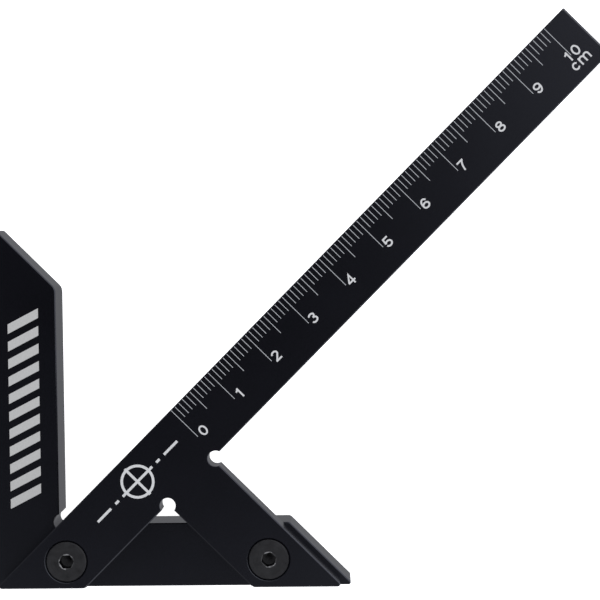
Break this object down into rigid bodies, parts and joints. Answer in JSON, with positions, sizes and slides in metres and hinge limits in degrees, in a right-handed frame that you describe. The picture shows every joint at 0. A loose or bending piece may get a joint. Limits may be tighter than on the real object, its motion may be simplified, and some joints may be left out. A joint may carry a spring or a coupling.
{
  "type": "try square",
  "caption": "Black anodised centre-finding and mitre square: an L-shaped stock with a graduated rule at 45 degrees from its inside corner and a leg square to the rule.",
  "frame": {"origin": "middle of the whole outline's rectangle, on the stock's back face", "axes": "+X along the stock's lower arm away from the corner, +Y along its upright arm, +Z from the stock's back face towards the rule plate"},
  "size_m": [0.1176, 0.109, 0.013],
  "materials": {
    "black_anodised": "bead-blasted and black anodised, satin",
    "black_oxide_steel": "turned, black oxide, low gloss",
    "etched_marks": "laser-etched through the anodising, matt light grey"
  },
  "bodies": {
    "root": {"stock": "black_anodised", "rule_plate": "black_anodised", "screw_left": "black_oxide_steel", "screw_right": "black_oxide_steel"}
  },
  "joints": []
}
